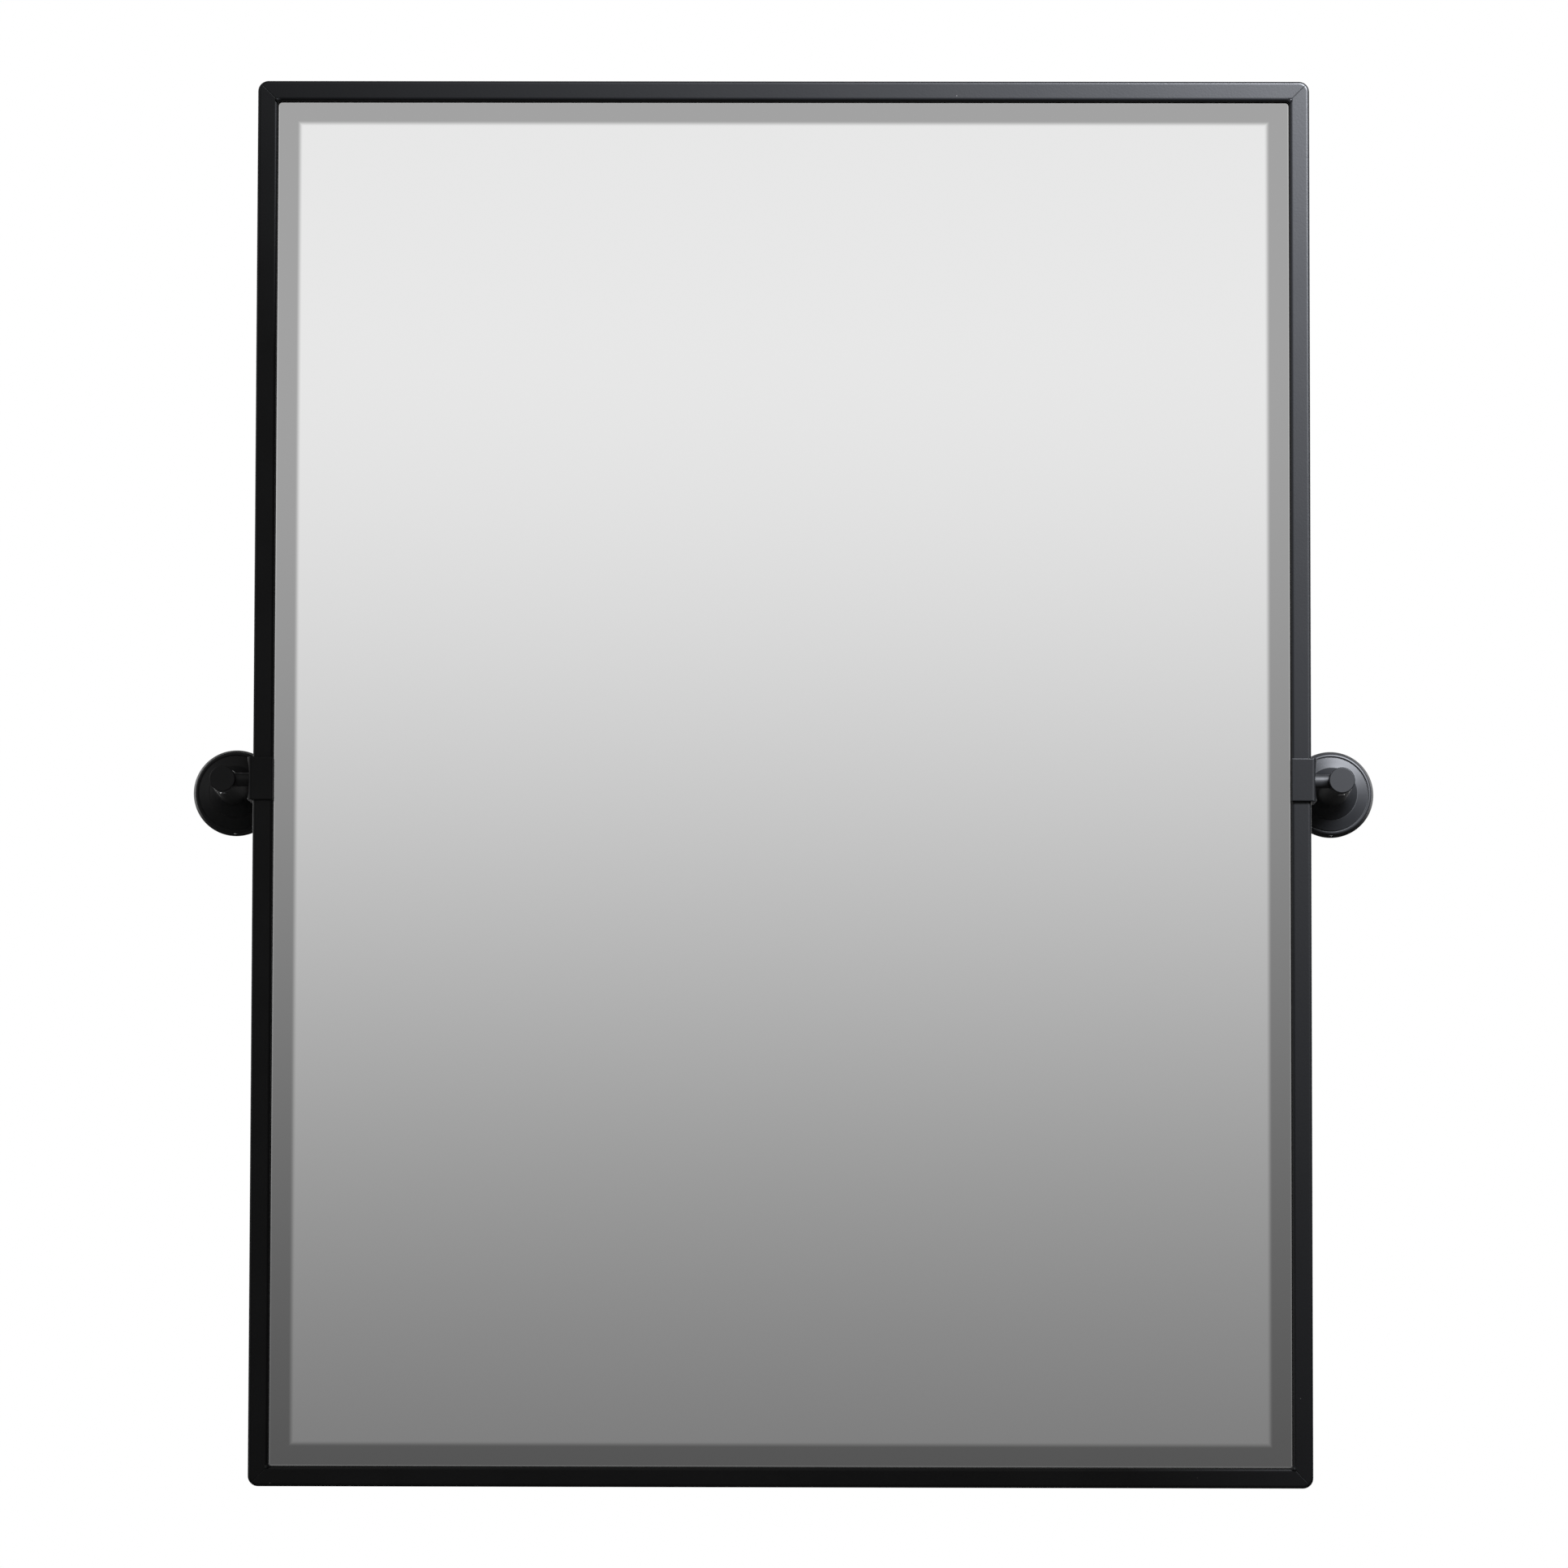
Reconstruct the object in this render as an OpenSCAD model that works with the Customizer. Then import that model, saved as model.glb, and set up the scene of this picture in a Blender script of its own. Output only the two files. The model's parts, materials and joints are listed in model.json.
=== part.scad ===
// Pivot wall mirror: a bevelled glass in a mitred tube frame, hung between two wall posts
// on pivot arms, so that it tilts about a level axis at half its height.
// Frame of the model: X right, Z up, the wall is the plane Y = 0 and the room is at Y < 0.
// The origin lies on the wall, midway between the two posts, at the height of the pivot axis.

/* [Tube frame] */
// Overall width of the frame
frame_w = 609.6; // [450:0.1:900]
// Overall height of the frame
frame_h = 812.8; // [600:0.1:1100]
// Width of the tube seen from the front
rail_w = 11.5; // [10:0.5:16]
// Depth of the tube, front to back
rail_d = 20; // [19:0.5:26]
// Wall thickness of the tube
tube_wall = 1.2; // [0.8:0.1:1.6]
// Radius of the frame's four outer corners
corner_r = 6; // [3:0.5:8]
// Rounding along the tube's long edges
edge_r = 1.8; // [0.6:0.1:2]

/* [Glass and backing] */
// Thickness of the mirror glass
glass_t = 5; // [4:0.5:6]
// Depth of the glass face below the front of the frame
glass_recess = 3.5; // [2:0.5:5]
// Width of the ground bevel round the glass
bevel_w = 12.7; // [6:0.1:25]
// Glass taken off by the bevel at the edge
bevel_drop = 1.5; // [0.5:0.1:2.5]
// Width of the seamed arris on the glass edge
seam_w = 0.4; // [0.2:0.1:0.8]
// Gap between the glass and the frame, each side
glass_gap = 0.3; // [0.2:0.1:1]
// Thickness of the mounting tape
tape_t = 1; // [0.5:0.1:1.5]
// Width of a strip of mounting tape
tape_w = 25; // [12:1:40]
// Number of tape strips across the glass
tape_strips = 5; // [3:1:7]
// Distance from the board's edges to the tape
tape_margin = 40; // [20:1:80]
// Thickness of the backing board
board_t = 5; // [4:0.5:6]
// Gap between the board and the frame, each side
board_gap = 1; // [0.5:0.1:2]
// Board left in front of a screw's hole
board_skin = 1; // [0.5:0.1:1.5]

/* [Welded lugs] */
// How far a lug reaches in from the tube
lug_reach = 18; // [14:1:30]
// Width of a lug along the tube
lug_w = 14; // [12:1:24]
// Thickness of a lug
lug_t = 1.5; // [1:0.1:2]
// Lugs along each upright
lugs_upright = 3; // [2:1:5]
// Lugs along the top and the bottom
lugs_level = 2; // [2:1:4]
// Distance from the frame's corner to the first lug
lug_start = 110; // [60:5:150]

/* [Small screws] */
// Size of the frame's small screws
small_screw_d = 3; // [2.5:0.5:3.5]
// Length of a bracket's screw under its head
small_screw_l = 5.5; // [5:0.5:8]
// Diameter of a small screw's head
small_head_d = 5.6; // [5:0.1:6.5]
// Height of a small screw's head
small_head_h = 1.7; // [1.4:0.1:2.2]

/* [Saddle brackets] */
// Height of a saddle bracket
bracket_h = 25; // [22:1:40]
// Thickness of the lips in front of and behind the tube
lip_t = 2; // [1.5:0.1:3]
// Thickness of the cheek beside the tube
cheek_t = 3; // [2.5:0.1:5]
// Outside radius of the bend from lip to cheek
bend_r = 2.6; // [1:0.1:2.9]
// Softening of the bracket's cut edges
bracket_edge = 0.6; // [0.2:0.1:0.9]
// Depth of the hollow in the cheek round the arm
dish_depth = 0.9; // [0.3:0.1:1.2]
// Depth of the spot face under the arm's shoulder
spot_depth = 0.3; // [0.2:0.1:0.6]
// Distance between the two screws behind a bracket
bracket_pitch = 14; // [11:0.5:20]

/* [Pivot arms and bushes] */
// Diameter of a pivot arm
arm_d = 8; // [7:0.5:9]
// Diameter of the arm's threaded tail
tail_d = 6; // [4:0.5:6.5]
// Thickness of the nut on the tail
nut_t = 4; // [3:0.5:5]
// Width of the nut across its flats
nut_flats = 10; // [9:0.5:13]
// Thread that shows past the nut
tail_past_nut = 1; // [0.5:0.1:1.5]
// Chamfer at the tip of an arm
tip_chamfer = 0.6; // [0.3:0.1:1]
// Wall of the plastic bush in the post
bush_wall = 0.8; // [0.6:0.1:1.2]
// Metal left between the bush's bore and the far side of the post
blind_wall = 3; // [2:0.5:4]
// Distance from the side of the frame to the post's axis
post_offset = 17.7; // [16:0.1:40]

/* [Posts] */
// Distance from the wall to the end face of a post
post_l = 101.6; // [70:0.1:140]
// Distance from the pivot axis to the post's end face
head_l = 9.6; // [8:0.1:20]
// Diameter of the post at its end face
head_d = 15; // [14:0.1:18]
// Diameter of the post where its foot starts to flare
neck_d = 16.8; // [15:0.1:18]
// Diameter of the post's flared foot
foot_d = 30.4; // [26:0.1:32]
// Thickness of the foot's edge
foot_lip = 0.6; // [0.4:0.1:1.5]
// Radius of the flare
flare_r = 29; // [20:0.5:40]
// Chamfer round the end face
head_chamfer = 0.5; // [0.2:0.1:1]
// Size of the grub screw under the head
tension_d = 4; // [3:0.5:5]
// How far the grub screw stands out of the post
tension_proud = 0.3; // [0.1:0.1:0.6]
// Size of the screw that holds the post to its rosette
post_screw_d = 6; // [4:0.5:6.5]
// Depth of the threaded hole in the foot of the post
post_screw_depth = 14; // [8:0.5:20]

/* [Rosettes and wall plates] */
// Diameter of a rosette
rosette_d = 50.8; // [48:0.1:60]
// Distance from the wall to the post's seat on the rosette
rosette_h = 8.2; // [8:0.1:11]
// Width of the ledge round the foot of the post
ledge_w = 0.4; // [0.2:0.1:1]
// Width of the rim, from its outside to the groove
rim_w = 3.1; // [2.8:0.1:3.3]
// Slope of the rim's side, in degrees
rim_draft = 18; // [12:1:22]
// Radius of the bead on the rim
bead_r = 1.5; // [1.2:0.1:1.7]
// Distance from the wall to the top of the bead
bead_h = 5.5; // [5:0.1:6]
// Width of the groove inside the rim band
groove_w = 0.7; // [0.4:0.1:1.2]
// Depth of the groove inside the rim band
groove_depth = 0.5; // [0.3:0.1:0.8]
// Diameter of a wall plate
plate_d = 35; // [34:0.1:36]
// Thickness of a wall plate
plate_t = 5; // [4.5:0.1:5.5]
// Diameter of a wall screw's hole
wall_hole_d = 4.5; // [3.5:0.1:5]
// Diameter of the countersink for a wall screw
wall_sink_d = 9; // [7:0.1:9.5]
// Distance between the two wall screws of a plate
wall_hole_pitch = 24; // [23:0.1:25]
// Size of the set screw that locks a rosette on its plate
set_screw_d = 3; // [2.5:0.5:3]
// Distance from the wall to the set screw's axis
set_screw_h = 2.4; // [2:0.1:2.6]
// How deep the set screw lies in the rim
set_screw_recess = 1; // [0.5:0.1:2]
// Radius of the flat on the set screw's cone
set_tip_r = 0.4; // [0.2:0.1:0.6]
// Gap between the set screw's cone and the groove
set_tip_gap = 0.15; // [0.1:0.05:0.3]
// Depth of the groove round a wall plate
plate_groove = 1.5; // [0.8:0.1:1.6]

/* [Bumpers] */
// Diameter of a bumper
bumper_d = 9; // [6:0.5:9]
// Thickness of a bumper
bumper_t = 2.5; // [1.5:0.5:4]
// Chamfer round a bumper
bumper_soft = 0.8; // [0.4:0.1:1]
// Distance from the side of the frame to a bumper's centre
bumper_inset = 25; // [15:1:80]

/* [Fits] */
// Running clearance of an arm in its bush, on the radius
run_fit = 0.05; // [0.02:0.01:0.1]
// Clearance of a screw in its hole, on the radius
screw_fit = 0.05; // [0.02:0.01:0.2]
// Loose clearance between parts that only sit together
seat_fit = 0.3; // [0.2:0.1:0.5]

/* [Hidden] */

// Fineness of round shapes, and an overshoot for clean cuts
$fn = 72;
cut = 1;

// Fore and aft places, measured from the wall
pivot_y = -(post_l - head_l);
front_y = pivot_y - rail_d / 2;
back_y = front_y + rail_d;
glass_y = front_y + glass_recess;
tape_y = glass_y + glass_t;
board_y = tape_y + tape_t;
lug_y = board_y + board_t;

// Widths and heights of what fills the frame
window_w = frame_w - 2 * rail_w;
window_h = frame_h - 2 * rail_w;
glass_w = window_w - 2 * glass_gap;
glass_h = window_h - 2 * glass_gap;
board_w = window_w - 2 * board_gap;
board_h = window_h - 2 * board_gap;

// Distance from the tube to the hole in a lug
lug_hole = lug_reach - lug_w / 2;

// Places across the frame, on the right-hand side
side_x = frame_w / 2;
post_x = side_x + post_offset;
seat_x = side_x + cheek_t - dish_depth - spot_depth;

// Radii of the turned parts
arm_r = arm_d / 2;
bush_in_r = arm_r + run_fit;
bush_out_r = bush_in_r + bush_wall;
head_r = head_d / 2;
neck_r = neck_d / 2;
foot_r = foot_d / 2;
ledge_r = foot_r + ledge_w;
rim_out_r = rosette_d / 2;
rim_in_r = rim_out_r - rim_w;
dome_r = rim_in_r - groove_w;
plate_r = plate_d / 2;
post_cap_d = 1.8 * post_screw_d;
plate_hole_r = post_cap_d / 2 + 2 * seat_fit;
blind_x = post_x + head_r - blind_wall;

// The screws in the backing board
board_hole_depth = board_t - board_skin;
board_screw_l = lug_t + board_hole_depth - seat_fit;

// ---- Helpers ----

// The right-hand part as drawn, or its mirror image on the left
module on_side(side) {
    if (side > 0) {
        children();
    } else {
        mirror([1, 0, 0]) children();
    }
}

// A rectangle from the corner [0, 0], with one radius at its near end and one at its far end
module soft_rect(w, d, near_r, far_r) {
    translate([near_r, 0]) square([w - near_r - far_r, d]);
    translate([0, near_r]) square([near_r, d - 2 * near_r]);
    translate([w - far_r, far_r]) square([far_r, d - 2 * far_r]);
    for (far = [0, 1]) {
        r = far == 1 ? far_r : near_r;
        x = far == 1 ? w - far_r : near_r;
        translate([x, r]) circle(r);
        translate([x, d - r]) circle(r);
    }
}

// Puts a shape's Z axis along -Y, so that its foot is on the wall at [x, z]
module from_wall(x, z = 0) {
    translate([x, 0, z]) rotate([90, 0, 0]) children();
}

// A button-head screw: the head lies below Z = 0 and the shank above it
module button_screw(d, length, cap_d, cap_h) {
    socket_flats = d * 0.65;
    cap_r = cap_d / 2;
    crown_h = cap_h * 0.65;
    crown_r = (cap_r * cap_r + crown_h * crown_h) / (2 * crown_h);
    difference() {
        union() {
            cylinder(h = length, r = d / 2);
            intersection() {
                translate([0, 0, -cap_h]) cylinder(h = cap_h, r = cap_r);
                translate([0, 0, crown_r - cap_h]) sphere(crown_r);
            }
        }
        translate([0, 0, -cap_h - cut]) hex_prism(socket_flats, cap_h * 0.6 + cut);
    }
}

// A headless screw from Z = 0 up, with its hexagon socket in the foot
module grub_screw(d, length) {
    difference() {
        cylinder(h = length, r = d / 2);
        translate([0, 0, -cut]) hex_prism(d / 2, length * 0.5 + cut);
    }
}

// A hexagon bar from Z = 0 up, measured across its flats
module hex_prism(flats, h) {
    cylinder(h = h, r = flats / 2 / cos(30), $fn = 6);
}

// ---- Tube frame ----

// A tube along Z with its outer face on X = 0 and its front on Y = 0. Its ends are mitred
// at 45 degrees towards +X, and its outer corners are rounded about the corner centres.
module mitred_tube(length) {
    run = length - 2 * corner_r;
    difference() {
        union() {
            intersection() {
                translate([0, 0, -run / 2]) linear_extrude(run)
                    soft_rect(rail_w, rail_d, edge_r, edge_r);
                mitre_prism(length);
            }
            for (end = [0, 1]) mirror([0, 0, end]) corner_sector(run, 0, edge_r, 135);
        }
        translate([tube_wall, tube_wall, -run / 2])
            cube([rail_w - 2 * tube_wall, rail_d - 2 * tube_wall, run]);
        for (end = [0, 1]) mirror([0, 0, end]) corner_sector(run, tube_wall, 0, 90);
    }
}

// Everything between the two mitre planes of a tube of this length
module mitre_prism(length) {
    half = length / 2;
    reach = rail_w + cut;
    translate([0, rail_d + cut, 0]) rotate([90, 0, 0]) linear_extrude(rail_d + 2 * cut)
        polygon([[-cut, -half - cut], [-cut, half + cut], [reach, half - reach], [reach, -half + reach]]);
}

// The turned outer corner of a tube, from the angle `from` round to its outer face
module corner_sector(run, inset, rounding, from) {
    depth = rail_d - 2 * inset;
    reach = corner_r - inset;
    translate([corner_r, rail_d - inset, run / 2]) rotate([90, 0, 0])
        rotate_extrude(angle = 180 - from, start = from)
            intersection() {
                translate([-reach, 0]) {
                    if (rounding > 0) {
                        soft_rect(2 * reach, depth, rounding, rounding);
                    } else {
                        square([2 * reach, depth]);
                    }
                }
                square([reach + cut, depth]);
            }
}

module frame_rail() {
    translate([0, front_y, frame_h / 2]) rotate([0, 90, 0]) mitred_tube(frame_w);
}

module frame_rail_top() {
    color([0.09, 0.09, 0.1]) frame_rail();
}

module frame_rail_bottom() {
    color([0.09, 0.09, 0.1]) mirror([0, 0, 1]) frame_rail();
}

// An upright, drilled for the arm's tail and for the bracket's two screws
module frame_stile(side) {
    color([0.09, 0.09, 0.1]) on_side(side) difference() {
        translate([side_x, front_y, 0]) mirror([1, 0, 0]) mitred_tube(frame_h);
        translate([side_x + cut, pivot_y, 0]) rotate([0, -90, 0])
            cylinder(h = tube_wall + 2 * cut, r = tail_d / 2 + screw_fit);
        for (z = [-1, 1])
            from_wall(side_x - rail_w / 2, z * bracket_pitch / 2)
                translate([0, 0, -back_y - cut])
                    cylinder(h = tube_wall + 2 * cut, r = small_screw_d / 2 + screw_fit);
    }
}

// ---- Glass and backing ----

// The mirror pane: a slab ground back along all four sides, with a fine seamed arris
module mirror_glass() {
    bevel_angle = atan(bevel_drop / bevel_w);
    color([0.8, 0.82, 0.83]) difference() {
        translate([-glass_w / 2, glass_y, -glass_h / 2]) cube([glass_w, glass_t, glass_h]);
        for (turn = [0 : 3]) {
            half = turn % 2 == 0 ? glass_w / 2 : glass_h / 2;
            rotate([0, 90 * turn, 0]) {
                grind_away(half - bevel_w, glass_y, bevel_angle);
                grind_away(half - seam_w, glass_y + bevel_drop, 45);
            }
        }
    }
}

// The slab of material in front of a plane that starts at [x, y] and slopes back outwards
module grind_away(x, y, angle) {
    depth = glass_t;
    reach = 3 * bevel_w;
    span = 2 * max(glass_w, glass_h);
    translate([x, y, 0]) rotate([0, 0, angle]) translate([0, -depth, -span / 2])
        cube([reach, depth, span]);
}

// Upright strips of tape between the glass and the board
module mounting_tape() {
    pitch = (board_w - 2 * tape_margin - tape_w) / (tape_strips - 1);
    length = board_h - 2 * tape_margin;
    color([0.93, 0.93, 0.9]) for (i = [0 : tape_strips - 1])
        translate([-board_w / 2 + tape_margin + i * pitch, tape_y, -length / 2])
            cube([tape_w, tape_t, length]);
}

module backing_board() {
    color([0.2, 0.17, 0.14]) difference() {
        translate([-board_w / 2, board_y, -board_h / 2]) cube([board_w, board_t, board_h]);
        at_lugs() translate([lug_hole, 0, lug_y - board_hole_depth])
            cylinder(h = board_hole_depth + cut, r = small_screw_d / 2 + screw_fit);
    }
}

// ---- Welded lugs ----

// Repeats a shape at each lug: X points in from the tube and Z points to the wall
module at_lugs() {
    for (side = [0, 1]) {
        mirror([side, 0, 0]) lug_row(window_w / 2, frame_h, lugs_upright) children();
        mirror([0, 0, side]) rotate([0, -90, 0]) lug_row(window_h / 2, frame_w, lugs_level) children();
    }
}

// A row along the tube whose inner face is at X = edge and whose length is `length`
module lug_row(edge, length, count) {
    span = length - 2 * lug_start;
    for (i = [0 : count - 1])
        translate([edge, 0, -span / 2 + i * span / (count - 1)]) rotate([90, 0, 180]) children();
}

// The lugs are drilled tabs with a round end
module board_lugs() {
    color([0.09, 0.09, 0.1]) at_lugs() translate([0, 0, lug_y]) difference() {
        union() {
            translate([0, -lug_w / 2, 0]) cube([lug_hole, lug_w, lug_t]);
            translate([lug_hole, 0, 0]) cylinder(h = lug_t, r = lug_w / 2);
        }
        translate([lug_hole, 0, -cut]) cylinder(h = lug_t + 2 * cut, r = small_screw_d / 2 + screw_fit);
    }
}

module board_screws() {
    color([0.6, 0.6, 0.62]) at_lugs() translate([lug_hole, 0, lug_y + lug_t]) mirror([0, 0, 1])
        button_screw(small_screw_d, board_screw_l, small_head_d, small_head_h);
}

// ---- Saddle brackets ----

// A U-shaped saddle over the tube: its plan, side view and front view are cut from one block
module bracket(side) {
    width = rail_w + cheek_t;
    depth = rail_d + 2 * lip_t;
    dish_half = bracket_h / 2 - bracket_edge;
    dish_r = (dish_half * dish_half + dish_depth * dish_depth) / (2 * dish_depth);
    color([0.1, 0.1, 0.11]) on_side(side) difference() {
        translate([side_x - rail_w, front_y - lip_t, -bracket_h / 2]) intersection() {
            linear_extrude(bracket_h) soft_rect(width, depth, bracket_edge, bend_r);
            translate([-cut, 0, 0]) rotate([90, 0, 90]) linear_extrude(width + 2 * cut)
                soft_rect(depth, bracket_h, bracket_edge, bracket_edge);
            translate([0, depth + cut, 0]) rotate([90, 0, 0]) linear_extrude(depth + 2 * cut)
                soft_rect(width, bracket_h, bracket_edge, bracket_edge);
        }
        translate([side_x - rail_w - cut, front_y, -bracket_h / 2 - cut])
            cube([rail_w + cut, rail_d, bracket_h + 2 * cut]);
        translate([side_x + cheek_t - dish_depth + dish_r, 0, 0])
            from_wall(0) translate([0, 0, -back_y - lip_t - cut])
                cylinder(h = depth + 2 * cut, r = dish_r, $fn = 180);
        translate([seat_x, pivot_y, 0]) rotate([0, 90, 0])
            cylinder(h = cheek_t, r = arm_r + seat_fit);
        translate([side_x - cut, pivot_y, 0]) rotate([0, 90, 0])
            cylinder(h = cheek_t + 2 * cut, r = tail_d / 2 + screw_fit);
        for (z = [-1, 1])
            from_wall(side_x - rail_w / 2, z * bracket_pitch / 2)
                translate([0, 0, -back_y - lip_t - cut])
                    cylinder(h = lip_t + 2 * cut, r = small_screw_d / 2 + screw_fit);
    }
}

module bracket_screws() {
    color([0.1, 0.1, 0.11]) for (side = [-1, 1]) on_side(side) for (z = [-1, 1])
        from_wall(side_x - rail_w / 2, z * bracket_pitch / 2)
            translate([0, 0, -back_y - lip_t])
                button_screw(small_screw_d, small_screw_l, small_head_d, small_head_h);
}

// ---- Pivot arms ----

// A turned arm: the bearing length ends in the post, and its threaded tail is in the frame
module pivot_arm(side) {
    tail_x = side_x - tube_wall - nut_t - tail_past_nut;
    tip_x = blind_x - seat_fit;
    color([0.1, 0.1, 0.11]) on_side(side) translate([0, pivot_y, 0]) rotate([0, 90, 0]) {
        translate([0, 0, tail_x]) cylinder(h = seat_x - tail_x, r = tail_d / 2);
        translate([0, 0, seat_x]) cylinder(h = tip_x - tip_chamfer - seat_x, r = arm_r);
        translate([0, 0, tip_x - tip_chamfer])
            cylinder(h = tip_chamfer, r1 = arm_r, r2 = arm_r - tip_chamfer);
    }
}

// The nuts sit inside the uprights, on the tails of the arms
module arm_nuts() {
    color([0.6, 0.6, 0.62]) for (side = [-1, 1]) on_side(side)
        translate([side_x - tube_wall - nut_t, pivot_y, 0]) rotate([0, 90, 0]) difference() {
            hex_prism(nut_flats, nut_t);
            translate([0, 0, -cut]) cylinder(h = nut_t + 2 * cut, r = tail_d / 2 + screw_fit);
        }
}

// ---- Bumpers ----

// Four dots behind the corners of the frame keep it off the wall
module bumpers() {
    x = side_x - bumper_inset;
    z = (frame_h - rail_w) / 2;
    base_r = bumper_d / 2;
    color([0.15, 0.15, 0.15]) for (sx = [-1, 1]) for (sz = [-1, 1])
        translate([sx * x, back_y, sz * z]) rotate([-90, 0, 0]) {
            cylinder(h = bumper_t - bumper_soft, r = base_r);
            translate([0, 0, bumper_t - bumper_soft])
                cylinder(h = bumper_soft, r1 = base_r, r2 = base_r - bumper_soft);
        }
}

// ---- Posts ----

// A turned post: a tapered shaft that sweeps out into a flared foot on the rosette
module post(side) {
    color([0.1, 0.1, 0.11]) on_side(side) difference() {
        from_wall(post_x) rotate_extrude() post_outline();
        translate([post_x - neck_r - cut, pivot_y, 0]) rotate([0, 90, 0])
            cylinder(h = blind_x - post_x + neck_r + cut, r = bush_out_r + screw_fit);
        translate([post_x, pivot_y, -neck_r - cut])
            cylinder(h = neck_r + cut, r = tension_d / 2 + screw_fit);
        from_wall(post_x) translate([0, 0, rosette_h - cut])
            cylinder(h = post_screw_depth + cut, r = post_screw_d / 2 + screw_fit);
    }
}

// Half the post's section, with its axis on X = 0 and the wall at Y = 0
module post_outline() {
    lip_top = rosette_h + foot_lip;
    sweep = foot_r - neck_r;
    neck_h = lip_top + sqrt(flare_r * flare_r - pow(flare_r - sweep, 2));
    polygon([
        [0, rosette_h], [neck_r, rosette_h], [neck_r, neck_h],
        [head_r, post_l - head_chamfer], [head_r - head_chamfer, post_l], [0, post_l]
    ]);
    difference() {
        translate([0, rosette_h]) square([foot_r, neck_h - rosette_h]);
        translate([neck_r + flare_r, neck_h]) circle(flare_r);
    }
}

// A plastic sleeve in the head of the post, trimmed flush with it, which the arm turns in
module pivot_bush(side) {
    color([0.13, 0.13, 0.13]) on_side(side) difference() {
        intersection() {
            from_wall(post_x) cylinder(h = post_l, r = head_r);
            translate([post_x - neck_r, pivot_y, 0]) rotate([0, 90, 0])
                cylinder(h = blind_x - post_x + neck_r, r = bush_out_r);
        }
        translate([post_x - neck_r - cut, pivot_y, 0]) rotate([0, 90, 0])
            cylinder(h = blind_x - post_x + neck_r + 2 * cut, r = bush_in_r);
    }
}

// Grub screws under the heads of the posts press on the bushes, to hold the mirror's tilt
module tension_screws() {
    length = head_r + tension_proud - bush_out_r - screw_fit;
    color([0.6, 0.6, 0.62]) for (side = [-1, 1]) on_side(side)
        translate([post_x, pivot_y, -head_r - tension_proud]) grub_screw(tension_d, length);
}

// ---- Rosettes and wall plates ----

// A cast rosette: a beaded rim, a groove and a coned shoulder that rises to the post's seat
module rosette(side) {
    cavity_r = plate_r + seat_fit;
    color([0.1, 0.1, 0.11]) on_side(side) difference() {
        from_wall(post_x) difference() {
            rotate_extrude() rosette_outline();
            translate([0, 0, -cut]) cylinder(h = plate_t + cut, r = cavity_r);
            cylinder(h = rosette_h + cut, r = post_screw_d / 2 + screw_fit);
        }
        translate([post_x, -set_screw_h, -rim_out_r - cut])
            cylinder(h = rim_out_r - cavity_r + 2 * cut, r = set_screw_d / 2 + screw_fit);
    }
}

// Half the rosette's section, with its axis on X = 0 and the wall at Y = 0
module rosette_outline() {
    bead_y = bead_h - bead_r;
    bead_x = rim_out_r - (bead_r + bead_y * sin(rim_draft)) / cos(rim_draft);
    edge_h = bead_y + sqrt(bead_r * bead_r - pow(rim_in_r - bead_x, 2));
    polygon([[0, rosette_h], [0, 0], [dome_r, 0], [dome_r, edge_h], [ledge_r, rosette_h]]);
    square([rim_in_r, edge_h - groove_depth]);
    polygon([
        [rim_in_r, 0], [rim_out_r, 0],
        [bead_x + bead_r * cos(rim_draft), bead_y + bead_r * sin(rim_draft)],
        [bead_x, bead_y], [rim_in_r, bead_y]
    ]);
    intersection() {
        translate([bead_x, bead_y]) circle(bead_r);
        translate([rim_in_r, 0]) square([rim_w, bead_h + cut]);
    }
}

// The screws that hold the posts, with their heads behind the rosettes
module post_screws() {
    screw_l = rosette_h - plate_t + post_screw_depth - seat_fit;
    color([0.6, 0.6, 0.62]) for (side = [-1, 1]) on_side(side)
        from_wall(post_x) translate([0, 0, plate_t])
            button_screw(post_screw_d, screw_l, post_cap_d, plate_t - seat_fit);
}

// A round plate for the wall, with two countersunk holes and a groove for the set screw
module wall_plate(side) {
    color([0.62, 0.62, 0.64]) on_side(side) from_wall(post_x) difference() {
        cylinder(h = plate_t, r = plate_r);
        rotate_extrude() polygon([
            [plate_r - plate_groove, set_screw_h],
            [plate_r + cut, set_screw_h - plate_groove - cut],
            [plate_r + cut, set_screw_h + plate_groove + cut]
        ]);
        translate([0, 0, -cut]) cylinder(h = plate_t + 2 * cut, r = plate_hole_r);
        for (z = [-1, 1]) translate([0, z * wall_hole_pitch / 2, 0]) {
            translate([0, 0, -cut]) cylinder(h = plate_t + 2 * cut, r = wall_hole_d / 2);
            translate([0, 0, plate_t - (wall_sink_d - wall_hole_d) / 2])
                cylinder(h = (wall_sink_d - wall_hole_d) / 2, r1 = wall_hole_d / 2, r2 = wall_sink_d / 2);
        }
    }
}

// Coned set screws from below lock the rosettes on their plates
module set_screws() {
    cone_l = set_screw_d / 2 - set_tip_r;
    tip_z = plate_r - plate_groove + set_tip_r + set_tip_gap;
    length = rim_out_r - set_screw_recess - tip_z - cone_l;
    color([0.6, 0.6, 0.62]) for (side = [-1, 1]) on_side(side)
        translate([post_x, -set_screw_h, -tip_z - cone_l - length]) {
            grub_screw(set_screw_d, length);
            translate([0, 0, length]) cylinder(h = cone_l, r1 = set_screw_d / 2, r2 = set_tip_r);
        }
}

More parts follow.
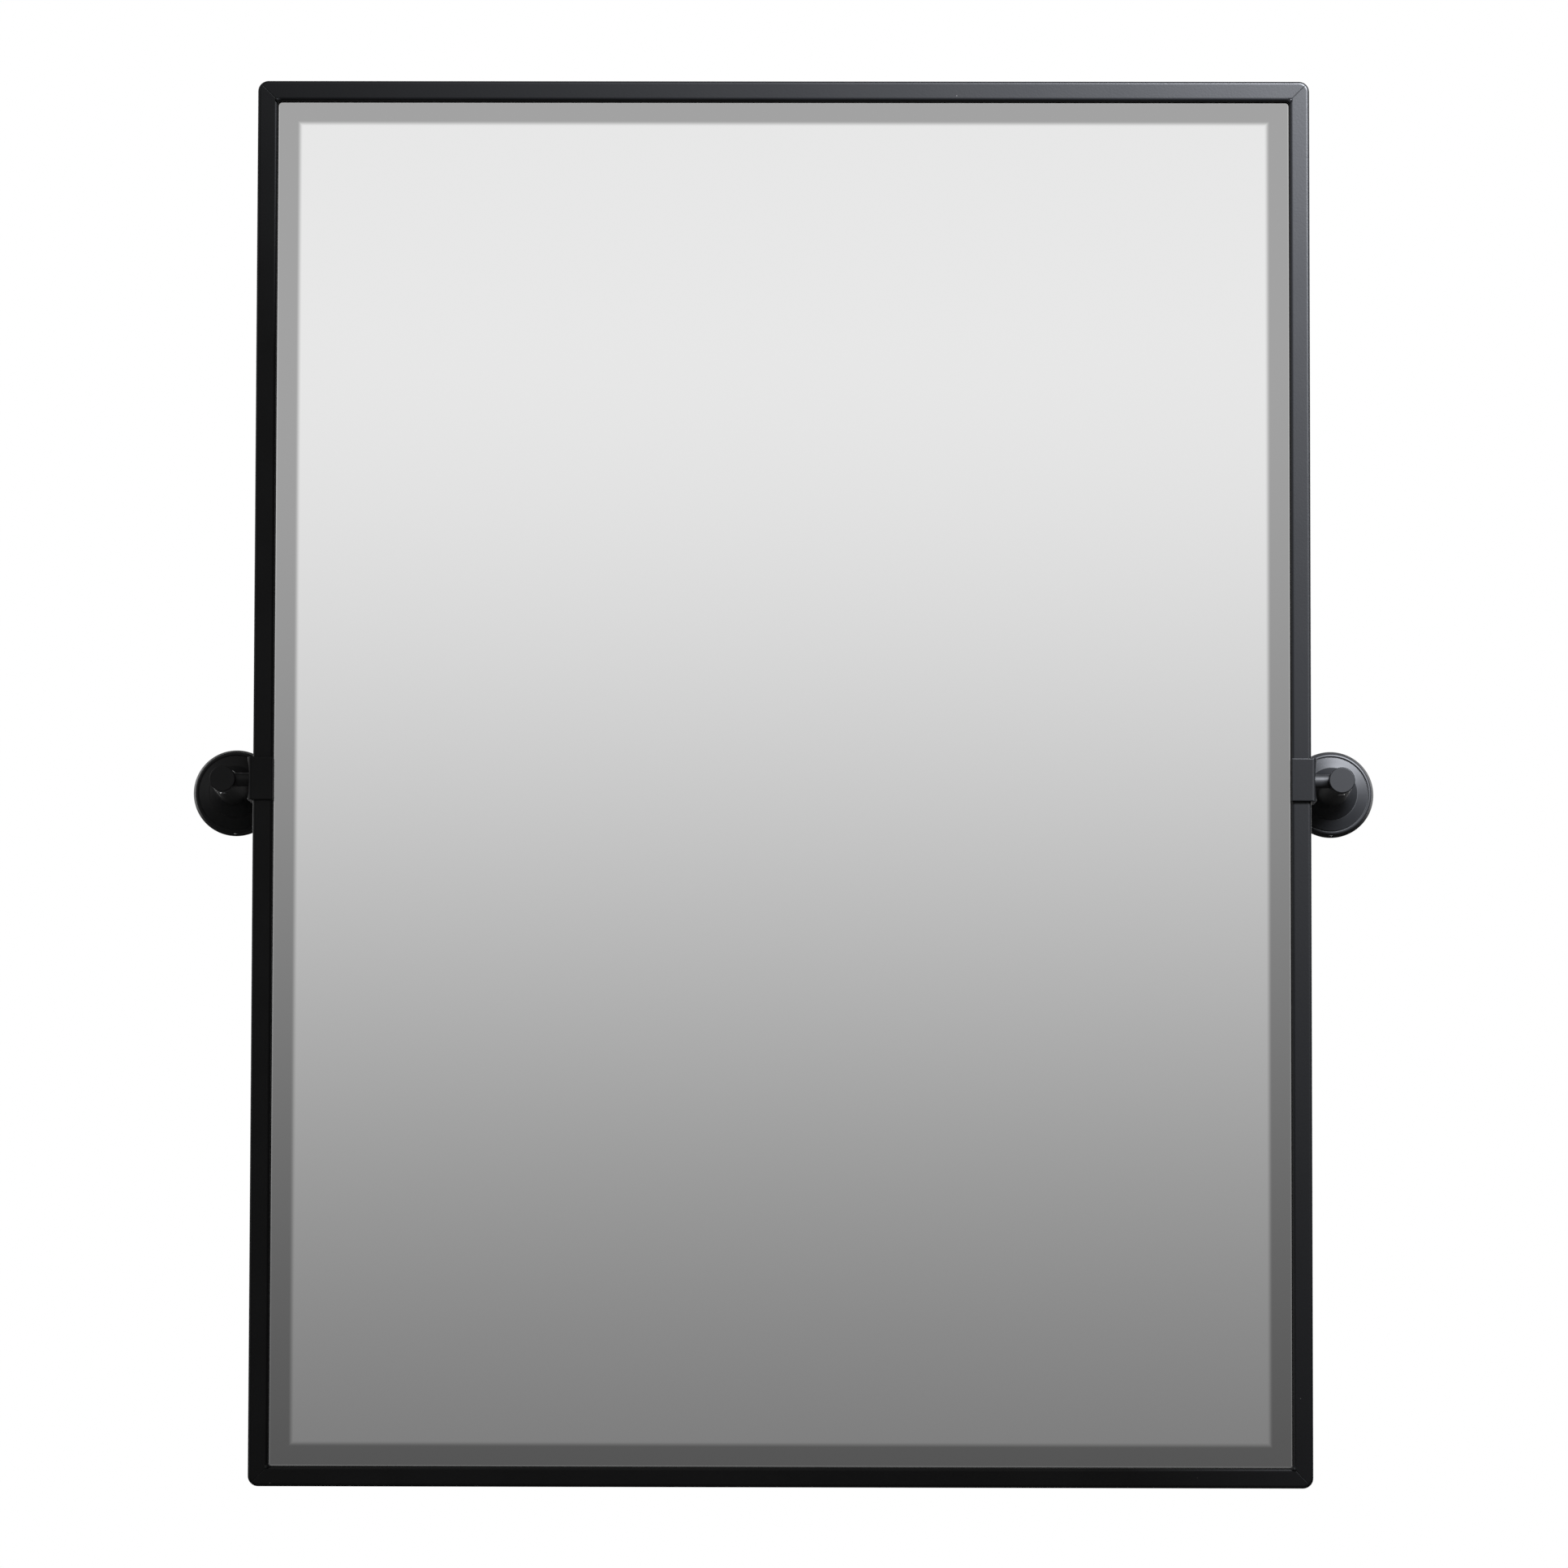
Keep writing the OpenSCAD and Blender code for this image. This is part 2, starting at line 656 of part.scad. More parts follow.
frame_rail_top();
frame_rail_bottom();
frame_stile(-1);  // frame_stile_left
frame_stile(1);  // frame_stile_right
mirror_glass();
mounting_tape();
backing_board();
board_lugs();
board_screws();
bracket(-1);  // bracket_left
bracket(1);  // bracket_right
bracket_screws();
pivot_arm(-1);  // pivot_arm_left
pivot_arm(1);  // pivot_arm_right
arm_nuts();
bumpers();
post(-1);  // post_left
post(1);  // post_right
pivot_bush(-1);  // pivot_bush_left
pivot_bush(1);  // pivot_bush_right
tension_screws();
rosette(-1);  // rosette_left
rosette(1);  // rosette_right
post_screws();
wall_plate(-1);  // wall_plate_left
wall_plate(1);  // wall_plate_right
set_screws();
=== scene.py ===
# %% [markdown]
# # A pivot wall mirror
# A bevelled mirror in a slim black tube frame hangs between two wall posts, and tilts about a
# level axis through its sides. The construction comes ready made: every tube, screw and rosette
# is a solid of its real size. This file gives those solids their finishes, adds the beads of weld
# and sealant that are too small for the construction drawing, and sets up the camera and the
# studio. The black of the sealant bead is painted shade for the shadowed wall behind the mirror.

# %% Load the frame of solids
import json
import math

import bmesh
import bpy
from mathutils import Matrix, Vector


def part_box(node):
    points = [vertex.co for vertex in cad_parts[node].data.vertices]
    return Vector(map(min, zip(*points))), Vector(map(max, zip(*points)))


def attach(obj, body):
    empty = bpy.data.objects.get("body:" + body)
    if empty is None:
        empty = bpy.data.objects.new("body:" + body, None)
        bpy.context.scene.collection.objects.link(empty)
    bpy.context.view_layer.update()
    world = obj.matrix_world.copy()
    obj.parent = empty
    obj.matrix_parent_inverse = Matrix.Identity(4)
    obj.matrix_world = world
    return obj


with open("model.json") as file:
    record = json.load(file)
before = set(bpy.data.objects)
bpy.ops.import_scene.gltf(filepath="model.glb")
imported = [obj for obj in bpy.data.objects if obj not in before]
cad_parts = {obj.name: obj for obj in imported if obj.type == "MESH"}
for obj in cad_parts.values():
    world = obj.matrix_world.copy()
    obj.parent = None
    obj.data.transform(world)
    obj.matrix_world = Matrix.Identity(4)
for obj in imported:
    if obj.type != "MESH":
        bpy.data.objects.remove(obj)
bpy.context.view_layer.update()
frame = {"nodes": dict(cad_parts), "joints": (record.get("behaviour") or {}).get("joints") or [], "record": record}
nodes = frame["nodes"]

# %% [markdown]
# ## Sizes read from the solids
# Masks and beads have to sit exactly on the edges of the solids. Reading those edges from the
# solids' own boxes keeps everything in step when the construction changes. The wall is the plane
# Y = 0, the room is at Y < 0, Z is up, and every length is in metres.

# %% Read the edges that the finishes and the beads are placed by
MM = 0.001

glass_low, glass_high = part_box("mirror_glass")
rail_low, rail_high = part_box("frame_rail_top")
post_low, post_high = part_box("post_right")
board_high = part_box("backing_board")[1]
pivot = Vector(frame["joints"][0]["pos_m"])

post_axis_x = (post_low.x + post_high.x) / 2
tube_front = rail_low.y
tube_back = rail_high.y
window_half_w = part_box("frame_stile_right")[0].x
window_half_h = rail_low.z
print("glass %.1f x %.1f mm" % tuple((glass_high - glass_low)[i] / MM for i in (0, 2)))
print("window %.1f x %.1f mm" % (2 * window_half_w / MM, 2 * window_half_h / MM))

# %% [markdown]
# ## The camera
# The mirror was photographed with a long lens from about four metres away, a little to the
# right of its middle and well below it. The camera looks slightly up, and a small upward shift
# of the lens does the rest. A shift keeps upright lines upright, where tilting the camera
# further up would make them lean together.

# %% Place the camera
CAMERA_PLACE = (0.0347, -4.2521, -0.3604)
CAMERA_TURN = (94.18, -0.13, 0.45)
CAMERA_LENS = 166.1
CAMERA_SHIFT = (0.0, 0.06)

camera_data = bpy.data.cameras.new("camera")
camera_data.lens = CAMERA_LENS
camera_data.sensor_width = 36
camera_data.shift_x, camera_data.shift_y = CAMERA_SHIFT
camera_data.clip_start = 0.01
camera = bpy.data.objects.new("camera", camera_data)
camera.location = CAMERA_PLACE
camera.rotation_euler = [math.radians(a) for a in CAMERA_TURN]
bpy.context.scene.collection.objects.link(camera)
bpy.context.scene.camera = camera
print("camera is", round(-CAMERA_PLACE[1], 2), "m from the wall")

# %% [markdown]
# ## Writing shaders in code
# A procedural finish is a small network of nodes. Short helpers keep such networks readable: one
# adds a node and fills its sockets by name, and one adds a sum. A socket can be given a plain
# value or the output of another node, and the first helper tells them apart.

# %% Helpers that add nodes
def plug(tree, socket, value):
    """Sets a socket to a value, or links it when the value is another node's output."""
    if isinstance(value, bpy.types.NodeSocket):
        tree.links.new(value, socket)
    else:
        socket.default_value = value


def add(tree, kind, settings=None, **sockets):
    """Adds a shader node. Its settings are a dict, and its sockets are given by name."""
    made = tree.nodes.new("ShaderNode" + kind)
    for name, value in (settings or {}).items():
        setattr(made, name, value)
    for name, value in sockets.items():
        plug(tree, made.inputs[name.replace("_", " ")], value)
    return made


def calc(tree, operation, *values, clamp=False):
    """One Math node. Returns its output."""
    made = add(tree, "Math", {"operation": operation, "use_clamp": clamp})
    for socket, value in zip(made.inputs, values):
        plug(tree, socket, value)
    return made.outputs[0]

# %% [markdown]
# A few steps come back in every network: a soft step from one value to another, a band, which is
# one soft step up and one down, and the mix of two colours or two numbers by a mask. A finish
# always starts with one Principled shader, and most textures start from the place of a point on
# its own piece.

# %% Helpers for the steps that come back
def soft_step(tree, value, start, end, low=0.0, high=1.0):
    """Goes smoothly from low to high while the value goes from start to end."""
    made = add(
        tree, "MapRange", {"interpolation_type": "SMOOTHSTEP"},
        Value=value, From_Min=start, From_Max=end, To_Min=low, To_Max=high,
    )
    return made.outputs[0]


def band(tree, value, rise, fall):
    """Rises from 0 to 1 over the pair rise, and goes back to 0 over the pair fall."""
    falling = soft_step(tree, value, *fall, 1.0, 0.0)
    return calc(tree, "MULTIPLY", soft_step(tree, value, *rise), falling)


def tint(tree, mask, below, above):
    """Goes from one colour to another as the mask goes from 0 to 1."""
    made = add(tree, "Mix", {"data_type": "RGBA"})
    for index, value in ((0, mask), (6, below), (7, above)):
        plug(tree, made.inputs[index], value)
    return made.outputs[2]


def fade(tree, mask, below, above):
    """Goes from one number to another as the mask goes from 0 to 1."""
    made = add(tree, "Mix")
    for index, value in ((0, mask), (2, below), (3, above)):
        plug(tree, made.inputs[index], value)
    return made.outputs[0]


def new_finish(name, **sockets):
    """A material with one Principled shader. Returns it with its tree and the shader's inputs."""
    material = bpy.data.materials.new(name)
    material.use_nodes = True
    tree = material.node_tree
    shader = tree.nodes["Principled BSDF"]
    for socket, value in sockets.items():
        plug(tree, shader.inputs[socket.replace("_", " ")], value)
    return material, tree, shader.inputs


def place_on(tree):
    """The place of a point on its own piece, in metres."""
    return add(tree, "TexCoord").outputs["Object"]

# %% [markdown]
# ## The studio
# A mirror and a satin black frame show little of their own: what they show is the studio. The
# photograph has a pure white background, yet the glass holds a grey gradient that darkens
# downwards, and the frame stays nearly black. So the world answers the camera with plain white,
# and everything else with a soft studio: a tall screen in front of the mirror that fades towards
# the floor, dim walls beside it, a panel far out on the left that draws a thin light line down
# the outer edge, and a bright sweep behind the object.

# %% Build the world around the object
SCREEN_LOW, SCREEN_HIGH = -2.9, 8.7        # elevations between which the screen brightens, degrees
SCREEN_DARK, SCREEN_LIGHT = 0.43, 0.906    # how light it looks there, from 0 to 1
SCREEN_EDGE = (9.0, 24.0)                  # the screen ends between these angles to its side
WALL_LEVEL = 0.28                          # the studio beside the screen, as a share of it
PANEL_START = (52.0, 68.0)                 # the panel on the left begins between these angles
PANEL_END = (88.0, 102.0)                  # and ends between these
PANEL_FOOT, PANEL_TOP = (-24.0, 6.0), (40.0, 62.0)    # elevations of its soft lower and upper edge
PANEL_LEVEL = 1.5                          # how bright it is
SWEEP_START = (122.0, 140.0)               # the sweep begins between these angles to the side
SWEEP_FOOT, SWEEP_TOP = (-12.0, -2.0), (14.0, 36.0)   # elevations of its soft lower and upper edge
SWEEP_LEVEL = 2.2                          # how bright it is, seen in shiny surfaces
SWEEP_DARK = 0.05                          # what is left of it above and below
SOFT_LEVEL = 0.06                          # what the room in front adds to matt surfaces
SOFT_SWEEP_LEVEL = 0.95                    # what the sweep adds to them
SOFT_BACKWARDS = (0.0, 0.35)               # how far back a direction points as they change over
EYE_GAMMA = 2.2                            # turns how light a tone looks into an amount of light
GLASS_TINT = 0.93                          # share of the light that the silvering returns

scene = bpy.context.scene
scene.view_settings.view_transform = "Standard"
world = bpy.data.worlds.new("studio")
world.use_nodes = True
scene.world = world
sky = world.node_tree
sky.nodes.clear()

direction = add(sky, "TexCoord").outputs["Generated"]
toward = add(sky, "SeparateXYZ", Vector=direction).outputs
forwards = calc(sky, "MULTIPLY", toward["Y"], -1.0)
elevation = calc(sky, "DEGREES", calc(sky, "ARCSINE", toward["Z"]))
sideways = calc(sky, "DEGREES", calc(sky, "ARCTAN2", toward["X"], forwards))

looks = soft_step(sky, elevation, SCREEN_LOW, SCREEN_HIGH, SCREEN_DARK, SCREEN_LIGHT)
screen = calc(sky, "DIVIDE", calc(sky, "POWER", looks, EYE_GAMMA), GLASS_TINT)
far_round = calc(sky, "ABSOLUTE", sideways)
beside = soft_step(sky, far_round, *SCREEN_EDGE, 1.0, WALL_LEVEL)
behind = soft_step(sky, far_round, *SWEEP_START)
sweep = fade(sky, band(sky, elevation, SWEEP_FOOT, SWEEP_TOP), SWEEP_DARK, SWEEP_LEVEL)
screen_and_sweep = fade(sky, behind, calc(sky, "MULTIPLY", screen, beside), sweep)

to_the_left = calc(sky, "MULTIPLY", sideways, -1.0)
panel_shape = calc(
    sky, "MULTIPLY",
    band(sky, to_the_left, PANEL_START, PANEL_END), band(sky, elevation, PANEL_FOOT, PANEL_TOP),
)
panel = calc(sky, "MULTIPLY", panel_shape, PANEL_LEVEL)
room = calc(sky, "ADD", screen_and_sweep, panel)
print("screen brightens from", SCREEN_LOW, "to", SCREEN_HIGH, "degrees")

# %% [markdown]
# Matt surfaces take in light from everywhere at once, so a plain dim room with the sweep behind it
# is enough for them. The camera sees plain white.

# %% Let each kind of ray see its own studio
WHITE = (1, 1, 1, 1)

ray = add(sky, "LightPath").outputs
soft_room = fade(sky, soft_step(sky, toward["Y"], *SOFT_BACKWARDS), SOFT_LEVEL, SOFT_SWEEP_LEVEL)
strength = fade(sky, ray["Is Diffuse Ray"], room, soft_room)
studio = add(sky, "Background", Color=WHITE, Strength=strength)
backdrop = add(sky, "Background", Color=WHITE)
seen = add(sky, "MixShader", Fac=ray["Is Camera Ray"])
sky.links.new(studio.outputs[0], seen.inputs[1])
sky.links.new(backdrop.outputs[0], seen.inputs[2])
add(sky, "OutputWorld", Surface=seen.outputs[0])
print("nodes in the studio:", len(sky.nodes))

# %% [markdown]
# The light that shapes the frame is one large soft box, two metres in front of the mirror, up
# and to the right. It is feathered: it faces past the mirror, so that only its edge reaches the
# frame and the light falls off quickly. That is why the right upright goes from mid grey at the
# top to nearly black at the bottom, while the left one stays dark. It isn't linked to the glass,
# because a lamp's bright reflection in the glass would be all that other views show.

# %% Hang the soft box
BOX_PLACE = Vector((1.413, -2.037, 1.475))
BOX_FACES = Vector((0.5387, 0.7358, 0.4105))    # the direction that it points in
BOX_SIZE = (2.192, 0.842)
BOX_POWER = 4090.0
BOX_COLOUR = (0.95, 0.985, 1.07)                # a little cooler than white

box_data = bpy.data.lights.new("soft_box", "AREA")
box_data.shape = "RECTANGLE"
box_data.size, box_data.size_y = BOX_SIZE
box_data.energy = BOX_POWER
box_data.color = BOX_COLOUR
soft_box = bpy.data.objects.new("soft_box", box_data)
soft_box.location = BOX_PLACE
soft_box.rotation_euler = BOX_FACES.to_track_quat("-Z", "Y").to_euler()
soft_box.visible_camera = False
scene.collection.objects.link(soft_box)

lit_by_box = bpy.data.collections.new("lit_by_box")
for name, piece in nodes.items():
    if name != "mirror_glass":
        lit_by_box.objects.link(piece)
soft_box.light_linking.receiver_collection = lit_by_box
print("soft box", BOX_POWER, "W,", round(BOX_PLACE.length, 2), "m from the middle of the mirror")

# %% [markdown]
# Two flat sheets complete the studio. The floor is a pale painted board with a light of its own,
# straight from above. The other is a black sheet just behind the mirror, a painted shade: the wall
# behind a mirror lies in its shadow, and the inner sides of the posts reflect that darkness. The
# sheet stands in for it. Only reflections see the sheet, so no picture shows it.

# %% Lay the floor and hang the black sheet of painted shade
FLOOR_HEIGHT = -1.35
FLOOR_HALF = 7.0
FLOOR_POWER = 2.2
FLOOR_DARK = (0.80, 0.80, 0.79, 1)
FLOOR_LIGHT = (0.84, 0.84, 0.83, 1)
WALL_SHADOW_PLACE = 0.004                       # how far behind the plane of the wall it hangs
WALL_SHADOW_HALF = (0.303, 0.40)                # a little smaller than the mirror
# Painted shade: a near black that stands in for the shadowed wall behind the mirror
WALL_SHADOW_DARK = (0.002, 0.002, 0.002, 1)
WALL_SHADOW_LIGHT = (0.004, 0.004, 0.004, 1)
SQUARE = ((-1, -1), (1, -1), (1, 1), (-1, 1))


def floor_finish():
    """Pale paint with a faint mottle."""
    material, tree, shader = new_finish("studio_floor", Roughness=0.8)
    mottle = add(tree, "TexNoise", Vector=place_on(tree), Scale=1.5, Detail=4.0).outputs[0]
    plug(tree, shader["Base Color"], tint(tree, mottle, FLOOR_DARK, FLOOR_LIGHT))
    return material


def wall_shadow_finish():
    """Painted shade for the shadowed wall: near black, with a faint weave."""
    material, tree, shader = new_finish("painted_wall_shadow", Roughness=1.0, Specular_IOR_Level=0.0)
    weave = add(tree, "TexNoise", Vector=place_on(tree), Scale=900.0).outputs[0]
    plug(tree, shader["Base Color"], tint(tree, weave, WALL_SHADOW_DARK, WALL_SHADOW_LIGHT))
    return material


def studio_sheet(name, corners, finish):
    """A flat sheet of the studio, with one face."""
    mesh = bmesh.new()
    mesh.faces.new([mesh.verts.new(corner) for corner in corners])
    data = bpy.data.meshes.new(name)
    mesh.to_mesh(data)
    mesh.free()
    data.materials.append(finish)
    sheet = bpy.data.objects.new(name, data)
    scene.collection.objects.link(sheet)
    return sheet


floor_corners = [(x * FLOOR_HALF, y * FLOOR_HALF, FLOOR_HEIGHT) for x, y in SQUARE]
floor = studio_sheet("floor", floor_corners, floor_finish())
floor.visible_glossy = False

# A black sheet of painted shade, seen only in reflections
wall_shadow_corners = [(x * WALL_SHADOW_HALF[0], WALL_SHADOW_PLACE, z * WALL_SHADOW_HALF[1]) for x, z in SQUARE]
wall_shadow_sheet = studio_sheet("wall_shadow_sheet", wall_shadow_corners, wall_shadow_finish())
wall_shadow_sheet.visible_camera = wall_shadow_sheet.visible_diffuse = wall_shadow_sheet.visible_shadow = False

floor_light = bpy.data.objects.new("floor_light", bpy.data.lights.new("floor_light", "SUN"))
floor_light.data.energy = FLOOR_POWER
scene.collection.objects.link(floor_light)
lit_from_above = bpy.data.collections.new("lit_from_above")
lit_from_above.objects.link(floor)
floor_light.light_linking.receiver_collection = lit_from_above
print("floor", 2 * FLOOR_HALF, "m wide, flag", 2 * WALL_SHADOW_HALF[0], "x", 2 * WALL_SHADOW_HALF[1], "m")

# %% [markdown]
# ## Effects that several finishes share
# Each effect is a node group with named inputs and outputs, built once. A finish places the group
# and gives it its own values. A group gives out masks, heights and tones that change over the
# surface, and the shader itself stays in the finish.

# %% A helper that starts a node group
def new_group(title, inputs, outputs):
    """Starts a shader node group. Inputs are {name: value} and outputs are {name: kind}."""
    group = bpy.data.node_groups.new(title, "ShaderNodeTree")
    new_socket = group.interface.new_socket
    for name, value in inputs.items():
        socket = new_socket(name=name, in_out="INPUT", socket_type="NodeSocketFloat")
        socket.default_value = value
    for name, kind in outputs.items():
        new_socket(name=name, in_out="OUTPUT", socket_type="NodeSocket" + kind)
    given = group.nodes.new("NodeGroupInput").outputs
    out = group.nodes.new("NodeGroupOutput").inputs
    return group, given, out


def place_group(tree, group, **sockets):
    """Puts a group into a finish with its own values, and returns its outputs."""
    made = tree.nodes.new("ShaderNodeGroup")
    made.node_tree = group
    for name, value in sockets.items():
        plug(tree, made.inputs[name.replace("_", " ")], value)
    return made.outputs

# %% [markdown]
# ### Powder grain
# Powder coat is plastic dust that melts on hot metal. It never flows out completely: it keeps a
# fine orange peel of hills about a millimetre apart, with a finer grain on them. Two noises at
# those two sizes make the height, and a third, slow noise makes the sheen drift over the part.

# %% Build the powder grain
DRIFT_SIZE_MM = 38.0


def build_powder_grain():
    group, given, out = new_group(
        "powder_grain",
        {"Peel Size mm": 1.1, "Grain Size mm": 0.28, "Grain Share": 0.35},
        {"Height": "Float", "Drift": "Float"},
    )
    place = place_on(group)

    def noise_of_size(size_mm, detail):
        scale = calc(group, "DIVIDE", 1 / MM, size_mm)
        return add(group, "TexNoise", Vector=place, Scale=scale, Detail=detail).outputs[0]

    peel = noise_of_size(given["Peel Size mm"], 1.0)
    grain = noise_of_size(given["Grain Size mm"], 2.0)
    height = calc(group, "MULTIPLY_ADD", grain, given["Grain Share"], peel)
    drift = noise_of_size(DRIFT_SIZE_MM, 3.0)
    plug(group, out["Height"], height)
    plug(group, out["Drift"], soft_step(group, drift, 0.35, 0.65))
    return group


powder_grain = build_powder_grain()
print("group:", powder_grain.name)

# %% [markdown]
# ### Rubbed edges
# A coating is thinnest on sharp edges, and hands and cloths polish it there. The bevel node gives
# the normal that the surface would have with rounded edges. Where it differs from the true
# normal there is an edge, and a noise breaks the edge up, so that it isn't rubbed evenly. The
# rounded normal is given out too: no coated edge is sharp, and a thin line of light runs along it.

# %% Build the rubbed edges
EDGE_TURN = (0.998, 0.90)    # how alike the two normals are where an edge begins and is full


def build_rubbed_edges():
    group, given, out = new_group(
        "rubbed_edges",
        {"Width mm": 0.5, "Patch Size mm": 9.0, "Amount": 0.5},
        {"Mask": "Float", "Normal": "Vector"},
    )
    width = calc(group, "MULTIPLY", given["Width mm"], MM)
    rounded = add(group, "Bevel", {"samples": 6}, Radius=width).outputs[0]
    plug(group, out["Normal"], rounded)
    flat = add(group, "NewGeometry").outputs["Normal"]
    alike = add(group, "VectorMath", {"operation": "DOT_PRODUCT"})
    plug(group, alike.inputs[0], rounded)
    plug(group, alike.inputs[1], flat)
    edge = soft_step(group, alike.outputs["Value"], *EDGE_TURN)
    scale = calc(group, "DIVIDE", 1 / MM, given["Patch Size mm"])
    patches = add(group, "TexNoise", Vector=place_on(group), Scale=scale, Detail=3.0).outputs[0]
    broken = calc(group, "MULTIPLY", edge, soft_step(group, patches, 0.38, 0.62))
    plug(group, out["Mask"], calc(group, "MULTIPLY", broken, given["Amount"], clamp=True))
    return group


rubbed_edges = build_rubbed_edges()
print("group:", rubbed_edges.name)

# %% [markdown]
# ### Dust specks
# Black shows every speck of dust. The cells of a Voronoi texture each hold one point, so a small
# disc round each point makes a speck, and each cell's own random number decides how many of
# the cells have one.

# %% Build the dust specks
def build_dust_specks():
    group, given, out = new_group(
        "dust_specks", {"Spacing mm": 14.0, "Speck Size mm": 0.3, "Share": 0.4}, {"Mask": "Float"}
    )
    scale = calc(group, "DIVIDE", 1 / MM, given["Spacing mm"])
    cells = add(group, "TexVoronoi", Vector=place_on(group), Scale=scale).outputs
    reach = calc(group, "DIVIDE", given["Speck Size mm"], given["Spacing mm"])
    inside = calc(group, "LESS_THAN", cells["Distance"], reach)
    luck = add(group, "SeparateColor", Color=cells["Color"]).outputs[0]
    chosen = calc(group, "LESS_THAN", luck, given["Share"])
    plug(group, out["Mask"], calc(group, "MULTIPLY", inside, chosen))
    return group


dust_specks = build_dust_specks()
print("group:", dust_specks.name)

# %% [markdown]
# ### Turning marks
# Posts, arms and screws are turned on a lathe, and the tool leaves fine rings round their axis.
# A ring is the same all the way round, so the noise only sees how far a point lies along the
# axis and how far it lies from it. The finish works out those two distances for its own axis.

# %% Build the turning marks
STREAK_PITCHES = 9.0    # how many times wider than a ring a streak is


def build_turning_marks():
    group, given, out = new_group(
        "turning_marks",
        {"Along": 0.0, "Across": 0.0, "Pitch mm": 0.35},
        {"Height": "Float", "Streak": "Float"},
    )
    scale = calc(group, "DIVIDE", 1 / MM, given["Pitch mm"])
    broad_scale = calc(group, "DIVIDE", scale, STREAK_PITCHES)
    place = add(group, "CombineXYZ", X=given["Along"], Y=given["Across"]).outputs[0]
    rings = add(group, "TexNoise", Vector=place, Scale=scale, Detail=2.0).outputs[0]
    broad = add(group, "TexNoise", Vector=place, Scale=broad_scale).outputs[0]
    plug(group, out["Height"], rings)
    plug(group, out["Streak"], soft_step(group, broad, 0.35, 0.65))
    return group


turning_marks = build_turning_marks()
print("group:", turning_marks.name)

# %% [markdown]
# ## The finishes
# Each finish is a short function that returns a material with one Principled shader. Numbers that
# are the same all over, such as the specular level, are set on the shader itself, and whatever
# changes over the surface comes from the groups. A finish is kept under the name of its function,
# which is also the name that the record gives to the material.

# %% Helpers for the finishes
finishes = {}


def keep_finish(maker):
    """Makes a finish and keeps it under its maker's name."""
    finishes[maker.__name__] = maker()
    print("finish:", maker.__name__)


def bump(tree, height, strength, depth_mm, **start):
    """A Bump node over a height from 0 to 1. It starts from the true normal or from Normal."""
    depth = depth_mm * MM
    return add(tree, "Bump", Strength=strength, Distance=depth, Height=height, **start).outputs[0]


def distance_from_axis(tree, axis, centre):
    """How far a point lies along a level axis, and how far from it. The two halves are alike."""
    at = add(tree, "SeparateXYZ", Vector=place_on(tree)).outputs
    if axis == "Y":
        along = at["Y"]
        first = calc(tree, "SUBTRACT", calc(tree, "ABSOLUTE", at["X"]), centre.x)
    else:
        along = at["X"]
        first = calc(tree, "SUBTRACT", at["Y"], centre.y)
    second = calc(tree, "SUBTRACT", at["Z"], centre.z)
    squares = calc(tree, "ADD", calc(tree, "POWER", first, 2.0), calc(tree, "POWER", second, 2.0))
    return along, calc(tree, "SQRT", squares)

# %% [markdown]
# ### Black powder coat
# The frame, brackets and lugs are mild steel with a satin black powder coat. It is a cool black
# that reflects a broad, soft highlight. The specular level is low, because a satin coat scatters
# part of its shine, and the base is very dark. Rubbed edges are a little lighter and smoother.

# %% Make the black powder coat
COAT_SPECULAR = 0.176
COAT_DARK = (0.0025, 0.0026, 0.0029, 1)
COAT_LIGHT = (0.0033, 0.0034, 0.0038, 1)
COAT_EDGE = (0.010, 0.0105, 0.0115, 1)
COAT_ROUGHNESS = (0.41, 0.385)
COAT_EDGE_ROUGHNESS = 0.35
DUST = (0.055, 0.053, 0.050, 1)


def black_powder_coat():
    material, tree, shader = new_finish("black_powder_coat", Specular_IOR_Level=COAT_SPECULAR)
    grain = place_group(tree, powder_grain)
    edges = place_group(tree, rubbed_edges, Width_mm=0.7, Amount=0.5)
    specks = place_group(tree, dust_specks)
    coat = tint(tree, grain["Drift"], COAT_DARK, COAT_LIGHT)
    worn = tint(tree, edges["Mask"], coat, COAT_EDGE)
    plug(tree, shader["Base Color"], tint(tree, specks["Mask"], worn, DUST))
    satin = fade(tree, grain["Drift"], *COAT_ROUGHNESS)
    plug(tree, shader["Roughness"], fade(tree, edges["Mask"], satin, COAT_EDGE_ROUGHNESS))
    plug(tree, shader["Normal"], bump(tree, grain["Height"], 0.35, 0.05, Normal=edges["Normal"]))
    return material


keep_finish(black_powder_coat)

# %% [markdown]
# ### Black casting
# The posts and rosettes are cast, turned and coated with the same black, a little thinner, so
# that the rings of the lathe still show faintly round their axis.

# %% Make the black casting
CASTING_SPECULAR = 0.228
CASTING_DARK = (0.0047, 0.0049, 0.0054, 1)
CASTING_LIGHT = (0.0059, 0.0061, 0.0066, 1)
CASTING_EDGE = (0.018, 0.0185, 0.020, 1)
CASTING_ROUGHNESS = (0.49, 0.465)
CASTING_EDGE_ROUGHNESS = 0.36
RINGS_IN_CASTING = 0.3    # share of the rings in the casting's height, and the grain has the rest


